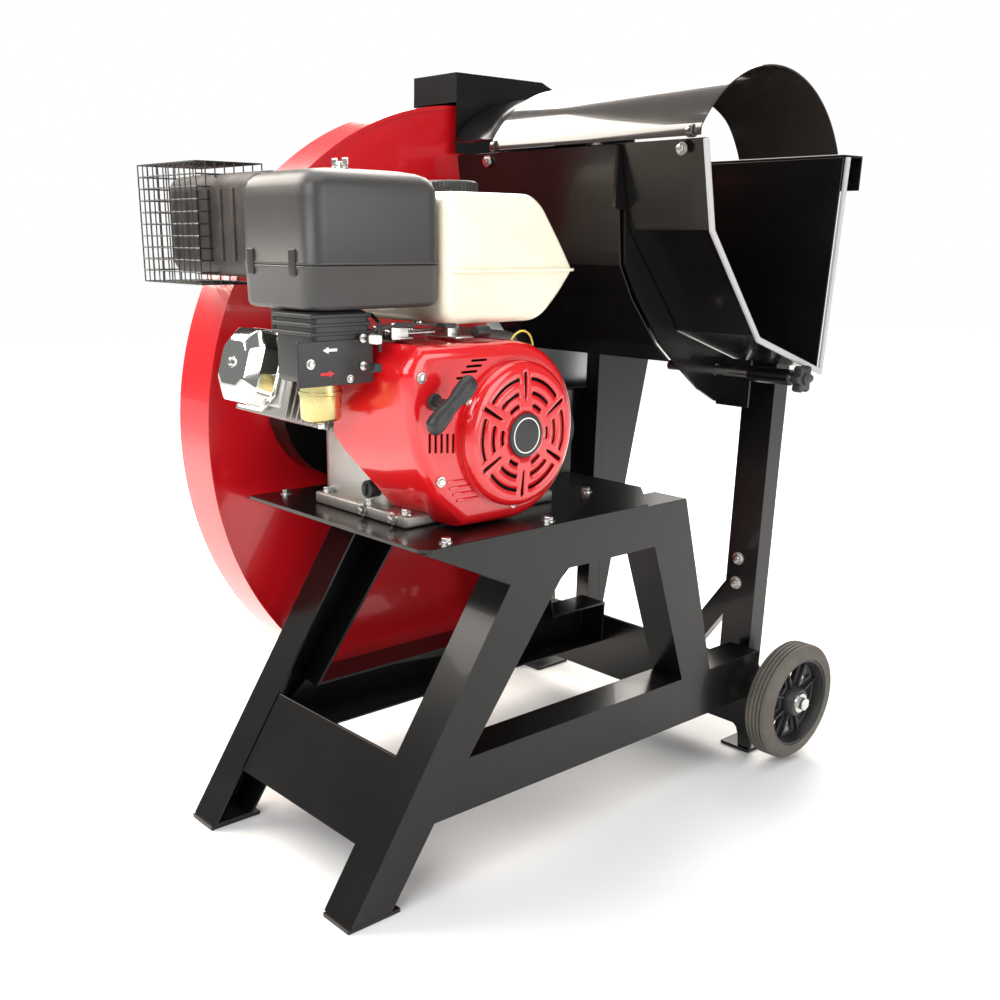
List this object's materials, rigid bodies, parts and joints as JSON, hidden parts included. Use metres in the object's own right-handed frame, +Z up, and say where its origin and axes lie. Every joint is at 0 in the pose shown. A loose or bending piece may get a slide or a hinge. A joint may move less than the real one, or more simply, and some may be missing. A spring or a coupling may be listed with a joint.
{
  "type": "petrol rocking log saw",
  "caption": "Petrol rocking log saw: folded steel stand, engine, belt-driven circular blade in a red housing, hooded log trough that rocks on a wheel axle.",
  "frame": {"origin": "on the floor, under the middle of the overall box", "axes": "+X along the trough towards its open end and the recoil starter, +Y towards the wheels and the side where the operator stands, +Z up"},
  "size_m": [0.7226, 1.076, 1.0933],
  "materials": {
    "black_paint": "gloss black powder coat",
    "red_paint": "gloss red enamel",
    "grey_trim": "light grey push-on edge trim",
    "steel": "bright machined steel",
    "aluminium": "sand-cast aluminium",
    "chrome": "chrome-plated pressed steel",
    "black_plastic": "black moulded plastic",
    "dark_grey_plastic": "satin charcoal moulded plastic",
    "cream_tank": "cream painted tank",
    "tyre": "worn grey-brown solid rubber",
    "belt_rubber": "ribbed black belt",
    "zinc": "yellow-passivated carburettor bowl",
    "filter": "pleated paper element"
  },
  "bodies": {
    "stand": {"side_frame_right": "black_paint", "side_frame_left": "black_paint", "front_cross_plate": "black_paint", "engine_plate": "black_paint", "rear_cross_plate": "black_paint", "foot_front_right": "black_paint", "foot_front_left": "black_paint", "foot_rear_right": "black_paint", "foot_rear_left": "black_paint", "blade_housing_rear": "black_paint", "belt_guard": "black_paint", "muffler": "black_paint", "blade_housing": "red_paint", "fan_cowl": "red_paint", "recoil_cover": "red_paint", "wheel_axle": "steel", "muffler_cage": "steel", "crankcase": "aluminium", "cylinder_head": "aluminium", "rocker_cover": "chrome", "bearing_block_left": "black_plastic", "bearing_block_right": "black_plastic", "intake_elbow": "black_plastic", "air_cleaner_box": "dark_grey_plastic", "air_cleaner_cover": "dark_grey_plastic", "fuel_tank": "cream_tank", "drive_belt": "belt_rubber", "carburettor": "zinc", "air_filter": "filter"},
    "arbor": {"arbor_shaft": "steel", "saw_blade": "steel", "blade_flange": "steel", "arbor_nut": "steel", "arbor_pulley": "aluminium"},
    "crank": {"crankshaft": "steel", "flywheel": "aluminium", "crank_pulley": "aluminium"},
    "cradle": {"cradle_post": "black_paint", "cradle_arm": "black_paint", "pivot_tube": "black_paint", "trough": "black_paint", "trough_trim": "grey_trim", "trough_front_panel": "black_paint", "saddle_rib": "black_paint", "push_rail": "black_paint", "stop_sleeve": "black_paint", "blade_cover": "black_paint", "hood_bridge": "black_paint"},
    "hood": {"hood": "black_paint"},
    "stop_rod": {"stop_rod": "steel"},
    "stop_knob": {"stop_knob": "black_plastic"},
    "wheel_right": {"tyre_right": "tyre", "wheel_hub_right": "black_plastic"},
    "wheel_left": {"tyre_left": "tyre", "wheel_hub_left": "black_plastic"},
    "fuel_cap": {"fuel_cap": "black_plastic"},
    "pull_handle": {"pull_handle": "black_plastic"},
    "choke_lever": {"choke_lever": "black_plastic"},
    "fuel_lever": {"fuel_lever": "black_plastic"},
    "throttle_lever": {"throttle_lever": "steel"}
  },
  "joints": [
    {"name": "arbor_spin", "type": "hinge", "parent": "stand", "child": "arbor", "pos_m": [-0.21525, 0.0424, 0.5585], "axis": [1, 0, 0], "continuous": true},
    {"name": "crank_spin", "type": "hinge", "parent": "stand", "child": "crank", "pos_m": [0.08225, -0.231, 0.6085], "axis": [1, 0, 0], "continuous": true},
    {"name": "cradle_rock", "type": "hinge", "parent": "stand", "child": "cradle", "pos_m": [0.08225, 0.353, 0.108], "axis": [-1, 0, 0], "range_deg": [0, 35]},
    {"name": "hood_lift", "type": "hinge", "parent": "cradle", "child": "hood", "pos_m": [0.142, -0.003, 0.98], "axis": [1, 0, 0], "range_deg": [0, 110]},
    {"name": "wheel_right_spin", "type": "hinge", "parent": "stand", "child": "wheel_right", "pos_m": [0.33125, 0.353, 0.108], "axis": [1, 0, 0], "continuous": true},
    {"name": "wheel_left_spin", "type": "hinge", "parent": "stand", "child": "wheel_left", "pos_m": [-0.33425, 0.353, 0.108], "axis": [1, 0, 0], "continuous": true},
    {"name": "stop_slide", "type": "slide", "parent": "cradle", "child": "stop_rod", "axis": [1, 0, 0], "range_m": [0, 0.15]},
    {"name": "stop_knob_turn", "type": "hinge", "parent": "stop_rod", "child": "stop_knob", "pos_m": [0.34125, 0.261, 0.653], "axis": [1, 0, 0], "range_deg": [-360, 0]},
    {"name": "pull_start", "type": "slide", "parent": "stand", "child": "pull_handle", "axis": [1, 0, 0], "range_m": [0, 0.6], "stiffness_N_per_m": 25},
    {"name": "fuel_cap_turn", "type": "hinge", "parent": "stand", "child": "fuel_cap", "pos_m": [0.10225, -0.219, 0.903], "axis": [0, 0, 1], "range_deg": [0, 90]},
    {"name": "choke_slide", "type": "slide", "parent": "stand", "child": "choke_lever", "axis": [0, -1, 0], "range_m": [0, 0.016]},
    {"name": "fuel_slide", "type": "slide", "parent": "stand", "child": "fuel_lever", "axis": [0, -1, 0], "range_m": [0, 0.016]},
    {"name": "throttle_turn", "type": "hinge", "parent": "stand", "child": "throttle_lever", "pos_m": [0.16725, -0.327, 0.746], "axis": [0, 0, -1], "range_deg": [0, 20]}
  ],
  "couplings": [
    {"joint": "crank_spin", "follows": "arbor_spin", "ratio": 2.25}
  ]
}
